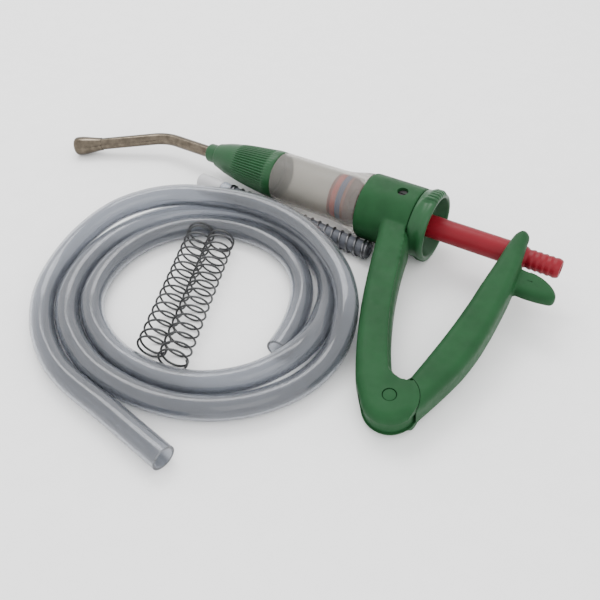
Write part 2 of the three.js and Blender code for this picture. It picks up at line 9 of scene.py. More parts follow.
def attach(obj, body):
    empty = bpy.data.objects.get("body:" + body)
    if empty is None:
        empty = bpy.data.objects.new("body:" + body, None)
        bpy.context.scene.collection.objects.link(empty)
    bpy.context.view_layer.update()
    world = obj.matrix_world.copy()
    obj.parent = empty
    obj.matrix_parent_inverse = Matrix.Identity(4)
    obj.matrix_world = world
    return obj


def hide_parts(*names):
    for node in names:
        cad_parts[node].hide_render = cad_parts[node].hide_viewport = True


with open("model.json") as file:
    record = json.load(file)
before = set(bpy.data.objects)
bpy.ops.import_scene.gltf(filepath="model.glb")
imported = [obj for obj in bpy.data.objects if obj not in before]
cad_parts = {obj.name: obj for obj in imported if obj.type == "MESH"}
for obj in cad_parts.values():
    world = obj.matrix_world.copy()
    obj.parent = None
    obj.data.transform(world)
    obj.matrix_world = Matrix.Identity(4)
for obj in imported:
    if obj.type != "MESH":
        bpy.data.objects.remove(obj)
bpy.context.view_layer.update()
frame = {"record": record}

# ---- dimensions ---------------------------------------------------------------------------
# Everything is drawn in millimetres. Gun parts use the gun's own frame: X along the barrel
# towards the hose barb, -Y down the handles. The loose parts use the table's frame.
MM = 0.001
JOINTS = {joint["name"]: joint for joint in frame["record"]["behaviour"]["joints"]}
RING_JOINT_X = 125.0        # where the dose ring's joint stands on the barrel axis
BARREL_HEIGHT = 21.25       # barrel axis above the table at the gun's origin

HOUSING_FRONT = 76.4
HOUSING_BACK = 118.0
HOUSING_R = 24.6
HANDLE_HALF = 10.8
PIVOT = (168.5, -144.0)
BOSS_R = 17.2
SEAM_START = -0.72          # the seam between handle and lever, in radians round the pivot
SEAM_END = 1.24
EYE_R = 15.8
EYE_HALF = 5.2
PIN_R = 4.2
PIN_GAP = 0.2
GAP = 0.35
EDGE_ROUNDING = 6.0         # how far the handle's edges are rounded in
RING_FRONT = 118.4
RING_BACK = 131.6
LOCK_X = 105.0
RING_TUBE_FRONT = 94.0
LOCK_GROOVE_HALF = 4.4
LUG_TURN = 1.25
LUG_HALF_TURN = 0.46
LUG_R = 26.6
LUG_START = RING_FRONT + 2
LUG_GROOVE_START = RING_FRONT + 4.4
LUG_GROOVE_PITCH = 0.118    # radians
LUG_GROOVE_DEPTH = 1.3
ROD_R = 8.2
ROD_END = 220.5
TRUNNION_X = 189.3
TRUNNION_HALF = 10.9
FORK_INNER = 9.0
FORK_OUTER = 12.6
SPUR_HALF = 5.5
PISTON_FRONT = 51.0
SEAL_WIDTH = 4.2
BEND_X = -118.0             # where the nozzle's two straight runs would meet
BEND_ANGLE = 0.567
BEND_RADIUS = 38.0
NOZZLE_LENGTH = 81.0
NOZZLE_R = 4.9
NOZZLE_BORE_R = 3.1
HOSE_R = 8.0
HOSE_BORE_R = 6.35
COIL_CENTRE = (17.2, -128.0)
SPRING_R = 10.2
SPRING_WIRE = 0.75
SPRING_DIRECTION = (41.8, -107.0)
MESHED_PHASE = 4.45         # turns the second spring so that its coils pass between the first one's
ARMOUR_R = 7.2
ARMOUR_LENGTH = 127.0
ARMOUR_WALL_R = 5.9
ARMOUR_BORE_R = 3.4
ARMOUR_WIRE = 0.9
SMALL = 48                  # sides round a small turned piece
MEDIUM = 64


def gun_frame():
    """Matrix from the gun's millimetres to the row frame, read from the joints."""
    along = -Vector(JOINTS["rod_slide"]["axis"])
    out = Vector(JOINTS["lever_squeeze"]["axis"])
    up = out.cross(along)
    matrix = Matrix((along, up, out)).transposed().to_4x4()
    matrix.translation = Vector(JOINTS["dose_ring_turn"]["pos_m"]) - along * RING_JOINT_X * MM
    return matrix @ Matrix.Scale(MM, 4)


GUN = gun_frame()
TABLE = Matrix.Translation(GUN.translation - Vector((0, 0, BARREL_HEIGHT * MM))) @ Matrix.Scale(MM, 4)


# ---- camera -------------------------------------------------------------------------------
LENS = 41.37
CAMERA_SPOT = (248.6, -371.6, 346.0)
CAMERA_TARGET = (72.8, -89.9, 0.0)


def add_camera():
    data = bpy.data.cameras.new("camera")
    data.sensor_width = 36.0
    data.lens = LENS
    data.clip_start = 0.01
    camera = bpy.data.objects.new("camera", data)
    bpy.context.scene.collection.objects.link(camera)
    target = TABLE @ Vector(CAMERA_TARGET)
    camera.location = TABLE @ Vector(CAMERA_SPOT)
    camera.rotation_euler = (target - camera.location).to_track_quat("-Z", "Y").to_euler()
    bpy.context.scene.camera = camera


# ---- mesh helpers -------------------------------------------------------------------------
def smooth_step(t):
    """0 to 1, level at both ends."""
    t = min(1, max(0, t))
    return t * t * (3 - 2 * t)


def link(name, mesh, matrix, material, sharp=35):
    """An object from a mesh in millimetres, baked into the row frame with smooth shading."""
    mesh.transform(matrix)
    mesh.shade_smooth()
    mesh.set_sharp_from_angle(angle=math.radians(sharp))
    obj = bpy.data.objects.new(name, mesh)
    bpy.context.scene.collection.objects.link(obj)
    obj.data.materials.clear()
    obj.data.materials.append(material)
    return obj


def mesh_from(verts, faces):
    mesh = bpy.data.meshes.new("mesh")
    mesh.from_pydata([tuple(v) for v in verts], [], faces)
    mesh.validate()
    bm = bmesh.new()
    bm.from_mesh(mesh)
    bmesh.ops.recalc_face_normals(bm, faces=bm.faces)
    bm.to_mesh(mesh)
    bm.free()
    return mesh


def revolve(profile, sides=96, closed=False, shape=None):
    """Turns [x, radius] rows about X. closed joins the last row to the first, for a sleeve."""
    verts = []
    faces = []
    for x, radius in profile:
        for i in range(sides):
            angle = 2 * math.pi * i / sides
            r = shape(x, angle, radius) if shape else radius
            verts.append((x, r * math.cos(angle), r * math.sin(angle)))
    rows = len(profile)
    for row in range(rows if closed else rows - 1):
        a = row * sides
        b = ((row + 1) % rows) * sides
        for i in range(sides):
            j = (i + 1) % sides
            faces.append((a + i, a + j, b + j, b + i))
    if not closed:
        faces.append(tuple(range(sides)))
        faces.append(tuple((rows - 1) * sides + i for i in range(sides)))
    return mesh_from(verts, faces)


def sleeve(outside, bore, sides=96, shape=None):
    return revolve(list(outside) + list(bore), sides, closed=True, shape=shape)


def rounded(profile, radius, steps=4):
    """A profile with its inner corners rounded by an arc-like curve of about that radius."""
    points = [Vector(p) for p in profile]
    out = [points[0]]
    for before, corner, after in zip(points, points[1:], points[2:]):
        to_before = before - corner
        to_after = after - corner
        reach = min(radius, to_before.length * 0.48, to_after.length * 0.48)
        start = corner + to_before.normalized() * reach
        end = corner + to_after.normalized() * reach
        for i in range(steps + 1):
            t = i / steps
            out.append(start * (1 - t) ** 2 + corner * 2 * t * (1 - t) + end * t ** 2)
    out.append(points[-1])
    return [tuple(p) for p in out]


def sweep(points, radius, sides=24, bore=0.0):
    """A round rod, or a tube with a bore, along the points."""
    points = [Vector(p) for p in points]
    tangents = []
    for i in range(len(points)):
        before = points[max(i - 1, 0)]
        after = points[min(i + 1, len(points) - 1)]
        tangents.append((after - before).normalized())
    normal = tangents[0].orthogonal().normalized()
    radii = [radius, bore] if bore else [radius]
    verts = []
    for point, tangent in zip(points, tangents):
        normal = (normal - tangent * normal.dot(tangent)).normalized()
        side = tangent.cross(normal)
        for r in radii:
            for i in range(sides):
                angle = 2 * math.pi * i / sides
                verts.append(point + (normal * math.cos(angle) + side * math.sin(angle)) * r)
    step = sides * len(radii)
    faces = []
    for row in range(len(points) - 1):
        for layer in range(len(radii)):
            a = row * step + layer * sides
            b = a + step
            for i in range(sides):
                j = (i + 1) % sides
                faces.append((a + i, a + j, b + j, b + i))
    for a in (0, (len(points) - 1) * step):
        if bore:
            for i in range(sides):
                j = (i + 1) % sides
                faces.append((a + i, a + j, a + sides + j, a + sides + i))
        else:
            faces.append(tuple(a + i for i in range(sides)))
    return mesh_from(verts, faces)


def coil(start, direction, length, mean_radius, wire, turns, phase=0.0):
    """Compression spring along a direction in the table plane, its end turns closed up."""
    along = Vector(direction).normalized()
    across = Vector((0, 0, 1)).cross(along)
    steps = int(turns * 26)
    points = []
    for i in range(steps + 1):
        turn = turns * i / steps
        angle = turn * 2 * math.pi + phase
        points.append(Vector(start) + along * coil_height(turn, turns, length, wire)
                      + (across * math.cos(angle) + Vector((0, 0, math.sin(angle)))) * mean_radius)
    return sweep(points, wire, 10)


def coil_height(turn, turns, length, wire):
    """Distance along the axis after so many turns: slow over the closed end turns, even between."""
    end_rise = wire * 2.1
    if turn < 1:
        return wire + end_rise * turn
    if turn > turns - 1:
        return length - wire - end_rise * (turns - turn)
    share = (turn - 1) / (turns - 2)
    return wire + end_rise + share * (length - 2 * (wire + end_rise))


class Outline:
    """A flat outline drawn with lines, arcs and curves, like a pen."""

    def __init__(self, x, y):
        self.points = [Vector((x, y))]

    def line(self, x, y):
        self.points.append(Vector((x, y)))

    def quad(self, cx, cy, x, y):
        steps = 10
        start = self.points[-1]
        control = Vector((cx, cy))
        end = Vector((x, y))
        for i in range(1, steps + 1):
            t = i / steps
            self.points.append(start * (1 - t) ** 2 + control * 2 * t * (1 - t) + end * t ** 2)

    def cubic(self, ax, ay, bx, by, x, y):
        steps = 24
        start = self.points[-1]
        a = Vector((ax, ay))
        b = Vector((bx, by))
        end = Vector((x, y))
        for i in range(1, steps + 1):
            t = i / steps
            u = 1 - t
            self.points.append(start * u ** 3 + a * 3 * t * u * u + b * 3 * t * t * u + end * t ** 3)

    def arc(self, cx, cy, radius, start, end, steps=36):
        for i in range(steps + 1):
            self.points.append(on_circle((cx, cy), radius, start + (end - start) * i / steps))


def on_circle(centre, radius, angle):
    return Vector((centre[0] + radius * math.cos(angle), centre[1] + radius * math.sin(angle)))


def prism(outline, low, high):
    count = len(outline)
    verts = [(p[0], p[1], low) for p in outline] + [(p[0], p[1], high) for p in outline]
    faces = [tuple(range(count)), tuple(range(count, 2 * count))]
    faces += [(i, (i + 1) % count, count + (i + 1) % count, count + i) for i in range(count)]
    return mesh_from(verts, faces)


def resampled(outline, step):
    """The closed outline with its points an even step apart."""
    corners = [Vector(p) for p in outline]
    corners.append(corners[0])
    total = sum((b - a).length for a, b in zip(corners, corners[1:]))
    count = max(12, round(total / step))
    points = []
    travelled = 0.0
    target = 0.0
    for a, b in zip(corners, corners[1:]):
        length = (b - a).length
        while length > 0 and target <= travelled + length and len(points) < count:
            points.append(a.lerp(b, (target - travelled) / length))
            target += total / count
        travelled += length
    return points


def inward_normals(points):
    area = sum(a.x * b.y - b.x * a.y for a, b in zip(points, points[1:] + points[:1]))
    turn = 1 if area > 0 else -1
    normals = []
    for i in range(len(points)):
        along = (points[(i + 1) % len(points)] - points[i - 1]).normalized()
        normals.append(Vector((-along.y, along.x)) * turn)
    return normals


def inset_room(points, normals, limit):
    """How far each point can move inwards before it meets the rest of the outline."""
    rooms = []
    for point, normal in zip(points, normals):
        room = limit
        for other in points:
            across = other - point
            depth = normal.dot(across)
            if depth > 1e-3:
                room = min(room, 0.94 * across.length_squared / (2 * depth))
        rooms.append(room)
    for _ in range(4):
        after = rooms[1:] + rooms[:1]
        rooms = [(rooms[i - 1] + 2 * rooms[i] + after[i]) / 4 for i in range(len(rooms))]
    return rooms


def plate(outline, half, rounding, half_at=None):
    """A plate in the handle plane with full rounded edges; half_at gives its half thickness by y."""
    points = resampled(outline, 1.4)
    normals = inward_normals(points)
    rooms = inset_room(points, normals, rounding)
    depth = min(rounding, half)
    levels = []
    layers = 7
    for k in range(layers + 1):
        angle = math.pi / 2 * k / layers
        levels.append((half - depth + depth * math.sin(angle), 1 - math.cos(angle)))
    levels = [(-z, share) for z, share in reversed(levels)] + levels
    verts = []
    for z, share in levels:
        for point, normal, room in zip(points, normals, rooms):
            spot = point + normal * room * share
            verts.append((spot.x, spot.y, z))
    count = len(points)
    faces = [tuple(range(count)), tuple((len(levels) - 1) * count + i for i in range(count))]
    for row in range(len(levels) - 1):
        for i in range(count):
            j = (i + 1) % count
            faces.append((row * count + i, row * count + j, (row + 1) * count + j, (row + 1) * count + i))
    mesh = mesh_from(verts, faces)
    if half_at:
        slice_by_y(mesh, 4.0)
        for vert in mesh.vertices:
            vert.co.z *= half_at(vert.co.y) / half
    return mesh


def slice_by_y(mesh, step):
    """Cuts a mesh across Y at even steps, so that its flat faces can be bent."""
    bm = bmesh.new()
    bm.from_mesh(mesh)
    bmesh.ops.triangulate(bm, faces=[face for face in bm.faces if len(face.verts) > 4])
    ys = [vert.co.y for vert in bm.verts]
    cut = min(ys) + step
    while cut < max(ys):
        geometry = bm.verts[:] + bm.edges[:] + bm.faces[:]
        bmesh.ops.bisect_plane(bm, geom=geometry, plane_co=(0, cut, 0), plane_no=(0, 1, 0))
        cut += step
    bm.to_mesh(mesh)
    bm.free()


def melt(meshes):
    """One even skin over overlapping bodies, relaxed so that its inner corners turn into soft fillets."""
    bm = bmesh.new()
    for mesh in meshes:
        bm.from_mesh(mesh)
    joined = bpy.data.meshes.new("joined")
    bm.to_mesh(joined)
    bm.free()
    obj = temporary(joined)
    remesh = obj.modifiers.new("skin", "REMESH")
    remesh.mode = "VOXEL"
    remesh.voxel_size = 0.7
    relax = obj.modifiers.new("relax", "SMOOTH")
    relax.factor = 0.5
    relax.iterations = 16
    return bake(obj)


def temporary(mesh):
    obj = bpy.data.objects.new("temporary", mesh)
    bpy.context.scene.collection.objects.link(obj)
    return obj


def bake(obj):
    """The evaluated mesh of a temporary object, which is then removed."""
    graph = bpy.context.evaluated_depsgraph_get()
    mesh = bpy.data.meshes.new_from_object(obj.evaluated_get(graph))
    bpy.data.objects.remove(obj)
    return mesh


def combine(base, others, operation):
    """One boolean of base with each of the other meshes in turn."""
    obj = temporary(base)
    helpers = []
    for other in others:
        helper = temporary(other)
        helpers.append(helper)
        modifier = obj.modifiers.new("boolean", "BOOLEAN")
        modifier.operation = operation
        modifier.solver = "EXACT"
        modifier.object = helper
    mesh = bake(obj)
    for helper in helpers:
        bpy.data.objects.remove(helper)
    return mesh


def soften(mesh, width):
    """Small rounding on the sharp edges."""
    obj = temporary(mesh)
    bevel = obj.modifiers.new("edge", "BEVEL")
    bevel.width = width
    bevel.segments = 3
    bevel.limit_method = "ANGLE"
    bevel.angle_limit = math.radians(40)
    bevel.use_clamp_overlap = True
    return bake(obj)


def disc_z(centre, low, high, radius, sides=64):
    circle = Outline(centre[0] + radius, centre[1])
    circle.arc(centre[0], centre[1], radius, 2 * math.pi / sides, 2 * math.pi * (1 - 1 / sides), sides - 2)
    return prism(circle.points, low, high)


def rod_x(x0, x1, radius, sides=96):
    return revolve([(x0, radius), (x1, radius)], sides)


def sphere(x, radius):
    rows = 18
    profile = []
    for i in range(1, rows):
        angle = math.pi * i / rows
        profile.append((x - radius * math.cos(angle), radius * math.sin(angle)))
    return revolve(profile, 36)


# ---- materials ----------------------------------------------------------------------------
def nodes_of(name):
    material = bpy.data.materials.new(name)
    material.use_nodes = True
    tree = material.node_tree
    return material, tree, tree.nodes["Principled BSDF"]


def noise(tree, scale, detail=3.0):
    """Noise over the object; scale is in features per metre."""
    coordinates = tree.nodes.new("ShaderNodeTexCoord")
    texture = tree.nodes.new("ShaderNodeTexNoise")
    texture.inputs["Scale"].default_value = scale
    texture.inputs["Detail"].default_value = detail
    tree.links.new(coordinates.outputs["Object"], texture.inputs["Vector"])
    return texture.outputs["Fac"]


def blend_colours(tree, fac, low, high):
    ramp = tree.nodes.new("ShaderNodeValToRGB")
    ramp.color_ramp.elements[0].position = 0.35
    ramp.color_ramp.elements[1].position = 0.65
    ramp.color_ramp.elements[0].color = (*low, 1)
    ramp.color_ramp.elements[1].color = (*high, 1)
    tree.links.new(fac, ramp.inputs["Fac"])
    return ramp.outputs["Color"]


def spread(tree, fac, low, high):
    node = tree.nodes.new("ShaderNodeMapRange")
    node.inputs["From Min"].default_value = 0.3
    node.inputs["From Max"].default_value = 0.7
    node.inputs["To Min"].default_value = low
    node.inputs["To Max"].default_value = high
    tree.links.new(fac, node.inputs["Value"])
    return node.outputs["Result"]


def bump(tree, shader, height, strength, distance):
    node = tree.nodes.new("ShaderNodeBump")
    node.inputs["Strength"].default_value = strength
    node.inputs["Distance"].default_value = distance
    tree.links.new(height, node.inputs["Height"])
    tree.links.new(node.outputs["Normal"], shader.inputs["Normal"])


def surface(name, colour, roughness, mottle=0.06, patches=60, grain=900, grain_depth=0.00002, metallic=0.0,
            specular=0.5, transmission=0.0, ior=1.45, spread_roughness=0.06):
    """Moulded, painted or metal surface: slightly mottled colour, uneven gloss, fine grain."""
    material, tree, shader = nodes_of(name)
    low = [c * (1 - mottle) for c in colour]
    high = [min(1, c * (1 + mottle)) for c in colour]
    tree.links.new(blend_colours(tree, noise(tree, patches), low, high), shader.inputs["Base Color"])
    uneven = spread(tree, noise(tree, 220), roughness - spread_roughness, roughness + spread_roughness)
    tree.links.new(uneven, shader.inputs["Roughness"])
    bump(tree, shader, noise(tree, grain, 4), 0.5, grain_depth)
    shader.inputs["Metallic"].default_value = metallic
    shader.inputs["Specular IOR Level"].default_value = specular
    shader.inputs["Transmission Weight"].default_value = transmission
    shader.inputs["IOR"].default_value = ior
    return material


GREEN_BODY = surface("green_body", (0.0105, 0.052, 0.0175), 0.52, mottle=0.10, grain=1500,
                     grain_depth=0.00006, specular=0.13)
GREEN_TRIM = surface("green_trim", (0.0125, 0.060, 0.021), 0.36, mottle=0.08, grain=500, specular=0.26)
RED_ROD = surface("red_rod", (0.165, 0.005, 0.012), 0.42, grain=400, specular=0.22)
NICKEL = surface("nickel", (0.105, 0.087, 0.066), 0.17, mottle=0.24, patches=210, grain=600,
                 grain_depth=0.00001, metallic=1.0, spread_roughness=0.07)
STEEL_WIRE = surface("steel_wire", (0.065, 0.066, 0.068), 0.38, mottle=0.2, grain=700, metallic=0.9)
STEEL_ARMOUR = surface("steel_armour", (0.17, 0.17, 0.18), 0.34, mottle=0.15, grain=700, metallic=1.0)
DARK_STEEL = surface("dark_steel", (0.04, 0.04, 0.04), 0.6, mottle=0.2, grain=700, metallic=0.3,
                     specular=0.2)
RUBBER = surface("black_rubber", (0.02, 0.02, 0.02), 0.6, grain=1200)
ORANGE_SEAL = surface("orange_seal", (0.95, 0.02, 0.01), 0.5, grain=900)
BLUE_SEAL = surface("blue_seal", (0.015, 0.03, 0.34), 0.5, grain=900)
PISTON = surface("piston_plastic", (0.42, 0.015, 0.012), 0.5, grain=800)
WHITE = surface("white_plastic", (0.46, 0.46, 0.47), 0.42, mottle=0.03, grain=800, specular=0.3)
GREY_TUBE = surface("grey_tube", (0.085, 0.09, 0.105), 0.45, mottle=0.2, grain=500, specular=0.3)
PALE_TUBE = surface("pale_tube", (0.42, 0.46, 0.52), 0.25, transmission=0.4, grain=500)
BARREL = surface("frosted_barrel", (0.50, 0.485, 0.455), 0.20, mottle=0.02, transmission=0.84, ior=1.14,
                 grain=150, grain_depth=0.000001, specular=0.35, spread_roughness=0.02)
HOSE = surface("clear_vinyl", (0.43, 0.45, 0.49), 0.12, mottle=0.03, transmission=0.90, ior=1.45,
               grain=120, grain_depth=0.000004, spread_roughness=0.02)


# ---- hose ---------------------------------------------------------------------------------
# Rows of [turn angle in degrees, radius, height]; the raised rows are where it crosses itself.
HOSE_COIL = [
    [-10.5, 72.4, 8], [-3, 70.6, 8], [6, 68.8, 8], [20, 67.9, 8], [40, 69, 8], [60, 70.8, 8],
    [90, 71, 8], [110, 71.6, 8], [130, 73.4, 8], [150, 73.6, 8], [217, 73.8, 8], [240, 71.4, 8],
    [270, 70.6, 8], [290, 72.8, 8.2], [305, 76, 9.2], [319, 79.4, 11], [331, 83, 13.4],
    [341, 85.8, 15.8], [350, 87.6, 17.4], [357, 87.8, 16.8], [365, 86.6, 13.8], [375, 85.5, 10.6],
    [385, 86, 8.8], [398, 88.2, 8.1], [412, 88.6, 8], [430, 87.4, 8], [450, 87, 8], [470, 88.2, 8],
    [490, 90, 8], [540, 90.8, 8], [578, 90.2, 8], [600, 87.7, 8], [630, 87, 8], [650, 89.6, 8],
    [670, 94.4, 8], [685, 98.2, 8], [700, 101.2, 8], [710, 102.8, 8.2], [720, 103.4, 10.4],
    [730, 102.6, 16.8], [740, 100, 21], [750, 96.6, 22.6], [757, 94, 23.4], [770, 89, 24.4],
    [790, 85.5, 24.5], [810, 84.5, 24.5], [830, 85, 24.5], [845, 87.4, 24.5], [855, 92, 24.5],
    [870, 97.4, 23.5], [885, 102.6, 20.6], [900, 107, 14], [915, 108, 9.5], [930, 107.7, 8],
    [945, 105.9, 8], [960, 104.6, 8], [975, 103.6, 8],
]
HOSE_TAIL = [(27, -232.9, 8), (52, -236.6, 8), (77, -240.3, 8)]
HOSE_LIFT = 0.15


def coil_row(degrees):
    index = 1
    while index < len(HOSE_COIL) - 1 and HOSE_COIL[index][0] < degrees:
        index += 1
    angle0, radius0, height0 = HOSE_COIL[index - 1]
    angle1, radius1, height1 = HOSE_COIL[index]
    t = (degrees - angle0) / (angle1 - angle0)
    return radius0 + (radius1 - radius0) * t, height0 + (height1 - height0) * t


def hose_route():
    first = HOSE_COIL[0][0]
    last = HOSE_COIL[-1][0]
    count = round((last - first) / 15)
    points = []
    for i in range(count + 1):
        degrees = first + (last - first) * i / count
        radius, height = coil_row(degrees)
        angle = math.radians(degrees)
        points.append(Vector((COIL_CENTRE[0] + radius * math.cos(angle),
                              COIL_CENTRE[1] + radius * math.sin(angle), height + HOSE_LIFT)))
    points += [Vector((x, y, z + HOSE_LIFT)) for x, y, z in HOSE_TAIL]
    return smooth_route(points, 5)


def smooth_route(points, steps):
    """Catmull-Rom curve through the points."""
    ends = [points[0] * 2 - points[1]] + points + [points[-1] * 2 - points[-2]]
    out = []
    for i in range(1, len(ends) - 2):
        a, b, c, d = ends[i - 1:i + 3]
        for k in range(steps):
            t = k / steps
            out.append((b * 2 + (c - a) * t + (a * 2 - b * 5 + c * 4 - d) * t * t
                        + (b * 3 - a - c * 3 + d) * t ** 3) * 0.5)
    out.append(ends[-2])
    return out


def add_hose():
    route = hose_route()
    mesh = sweep(route, HOSE_R, 32, HOSE_BORE_R)
    hose = link("clear_hose", mesh, TABLE, HOSE, sharp=50)
    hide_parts("hose")
    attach(hose, "pump_body")


# ---- loose springs and armoured tube ------------------------------------------------------
def add_loose_spring(node, start, length, turns, phase):
    """The two springs share a direction and a pitch; the phase keeps their meshed coils apart."""
    begin = Vector((start[0], start[1], SPRING_R + 0.1))
    mean_radius = SPRING_R - SPRING_WIRE
    mesh = coil(begin, (*SPRING_DIRECTION, 0), length, mean_radius, SPRING_WIRE, turns, phase)
    piece(node + "_wire", mesh, TABLE, STEEL_WIRE, "steel", "pump_body", node)


def piece(name, mesh, matrix, material, slot, body, *nodes, sharp=35):
    """Links a finished piece, hides the parts it stands for, and attaches it to what it moves with."""
    obj = link(name, mesh, matrix, material, sharp)
    if nodes:
        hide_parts(*nodes)
    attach(obj, body)
    return obj


def add_armoured_tube():
    place = TABLE @ Matrix.Translation((-34, -24.4, ARMOUR_R + 0.1)) @ Matrix.Rotation(-0.024, 4, "Z")
    tube = sleeve([(0.4, ARMOUR_WALL_R), (ARMOUR_LENGTH, ARMOUR_WALL_R)],
                  [(ARMOUR_LENGTH, ARMOUR_BORE_R), (0.4, ARMOUR_BORE_R)], SMALL)
    piece("armoured_tube_wall", tube, place, GREY_TUBE, "grey_tube", "pump_body", "armoured_tube")
    spring = coil((0, 0, 0), (1, 0, 0), ARMOUR_LENGTH, ARMOUR_R - ARMOUR_WIRE, ARMOUR_WIRE, 20.5)
    piece("armour_wire", spring, place, STEEL_ARMOUR, "steel", "pump_body", "armour_spring")
    bore = ARMOUR_BORE_R
    tip_outside = rounded([(-30, bore), (-30, 4.6), (-29.4, 6.2), (-22, 6.6), (-7, 6.7), (-7, 6.2)], 1.2)
    tip = sleeve(tip_outside, [(-7, bore)], MEDIUM)
    piece("draw_off_tip_body", tip, place, WHITE, "white_plastic", "pump_body", "draw_off_tip")
    collar_outside = rounded([(-6.6, 6.0), (-6.6, 6.9), (0, 6.3), (0, 5.8)], 0.5)
    collar = sleeve(collar_outside, [(0, bore), (-6.6, bore)], MEDIUM)
    piece("tip_collar_body", collar, place, PALE_TUBE, "pale_tube", "pump_body", "tip_collar")


# ---- nozzle and cap -----------------------------------------------------------------------
def front_run(distance):
    return Vector((BEND_X - distance * math.cos(BEND_ANGLE), -distance * math.sin(BEND_ANGLE), 0))


def nozzle_route(end):
    tangent = BEND_RADIUS * math.tan(BEND_ANGLE / 2)
    points = [Vector((-59, 0, 0)), Vector((-75, 0, 0)), Vector((-90, 0, 0))]
    for i in range(17):
        angle = BEND_ANGLE * i / 16
        points.append(Vector((BEND_X + tangent - BEND_RADIUS * math.sin(angle),
                              -BEND_RADIUS * (1 - math.cos(angle)), 0)))
    points += [front_run(tangent + (end - tangent) * share) for share in (0.33, 0.66, 1.0)]
    return points


def add_nozzle():
    tube = sweep(nozzle_route(NOZZLE_LENGTH - 6), NOZZLE_R, SMALL, NOZZLE_BORE_R)
    piece("nozzle_pipe", tube, GUN, NICKEL, "nozzle_metal", "pump_body", "nozzle_tube")
    outside = rounded([(0, 3.2), (0, 5.4), (1.6, 7.4), (4.5, 7.8), (9, 7.6), (15, 6.6), (21, 5.6),
                       (23.6, 5.3), (24, 5.2)], 2.0)
    tip = sleeve(outside, [(5.6, 5.25), (5.6, 3.2)], MEDIUM)
    end = front_run(NOZZLE_LENGTH)
    place = GUN @ Matrix.Translation(end) @ Matrix.Rotation(BEND_ANGLE, 4, "Z")
    piece("nozzle_bulb", tip, place, NICKEL, "nozzle_metal", "pump_body", "nozzle_tip")
    ferrule = sleeve([(-58.6, 8.2), (-52, 8.2)], [(-52, NOZZLE_BORE_R), (-58.6, NOZZLE_BORE_R)], SMALL)
    piece("ferrule_ring", ferrule, GUN, NICKEL, "nozzle_metal", "pump_body", "nozzle_ferrule")
    o_ring = sleeve([(-51.6, 8.2), (-49.2, 8.2)], [(-49.2, 5.0), (-51.6, 5.0)], SMALL)
    piece("ferrule_o_ring", o_ring, GUN, RUBBER, "black_rubber", "pump_body", "nozzle_o_ring")


FLUTES = 50
FLUTE_START = -40.5
FLUTE_END = -7.0
FLUTE_DEPTH = 0.95


def fluted(x, angle, radius):
    """Rounded flutes cut into the cap, fading out at both ends."""
    if radius < 14 or x > FLUTE_END or x < FLUTE_START:
        return radius
    fade = min(1, (FLUTE_END - x) / 1.2, (x - FLUTE_START) / 3)
    wave = 0.5 + 0.5 * math.cos(angle * FLUTES)
    return radius - FLUTE_DEPTH * fade * (1 - wave) ** 2


def cap_radius(x):
    """The swelling curve of the cap's fluted stretch."""
    return 14.55 + 4.2 * ((x + 40.5) / 33.5) ** 0.8


def add_cap():
    body = [(-58.9, 10.2), (-52, 12.3), (-46, 13.6), (-40.5, 14.55)]
    body += [(x, cap_radius(x)) for x in (-39.5, -38, -35, -31, -26, -20, -14, -9.5)]
    body += [(-8.2, 18.75), (-7.0, 18.9), (-0.9, 18.95), (-0.35, 18.5)]
    neck = rounded([(-71.5, 5.3), (-71.5, 6.6), (-70.6, 7.5), (-62, 7.8), (-61.6, 9.6), (-58.9, 10.2)], 0.8)
    bore = [(-0.35, 17.65), (-8.3, 17.65), (-8.3, 13.9), (-30, 12.4), (-30, 8.6), (-59.1, 8.6),
            (-59.1, 5.25)]
    cap = sleeve(neck[:-1] + body, bore, FLUTES * 10, fluted)
    piece("front_cap_shell", cap, GUN, GREEN_TRIM, "green_trim", "pump_body", "front_cap", sharp=50)


# ---- barrel and what shows through it -----------------------------------------------------
def add_barrel():
    outside = [(-6, 17.3), (0, 17.3), (0, 18.4), (0.6, 18.9), (20, 19.0), (50, 19.3), (57, 19.8), (63, 21.0),
               (68, 22.3), (72, 23.1), (75.4, 23.5), (76, 23.2), (76, 19.1), (84, 19.1)]
    bore = [(84, 16.9), (-0.5, 16.9), (-1.5, 15.1), (-6, 15.1)]
    barrel = sleeve(outside, bore, 128)
    piece("barrel_tube", barrel, GUN, BARREL, "clear_barrel", "pump_body", "barrel")
    seal = sleeve([(-7.9, 17.3), (-6.3, 17.3)], [(-6.3, 15.1), (-7.9, 15.1)], MEDIUM)
    piece("barrel_seal_ring", seal, GUN, RUBBER, "black_rubber", "pump_body", "barrel_seal")


def add_valves():
    seat = sleeve([(-29.6, 12), (-24, 12)], [(-24, 3.4), (-26, 3.4), (-29.6, 5.4)], MEDIUM)
    piece("outlet_seat", seat, GUN, WHITE, "white_plastic", "pump_body", "outlet_valve_seat")
    piece("outlet_ball_steel", sphere(-33.6, 4.6), GUN, STEEL_ARMOUR, "steel", "outlet_ball",
          "outlet_valve_ball")
    spring = coil((-48.8, 0, 0), (1, 0, 0), 7.6, 3.6, 0.45, 5)
    piece("outlet_spring_wire", spring, GUN, STEEL_WIRE, "steel", "pump_body", "outlet_valve_spring")
    front = PISTON_FRONT
    piece("inlet_ball_steel", sphere(front + 11.1, 3.6), GUN, STEEL_ARMOUR, "steel", "inlet_ball",
          "inlet_valve_ball")
    spring = coil((front + 1.3, 0, 0), (1, 0, 0), 4.0, 3.9, 0.35, 3)
    piece("inlet_spring_wire", spring, GUN, STEEL_WIRE, "steel", "plunger", "inlet_valve_spring")


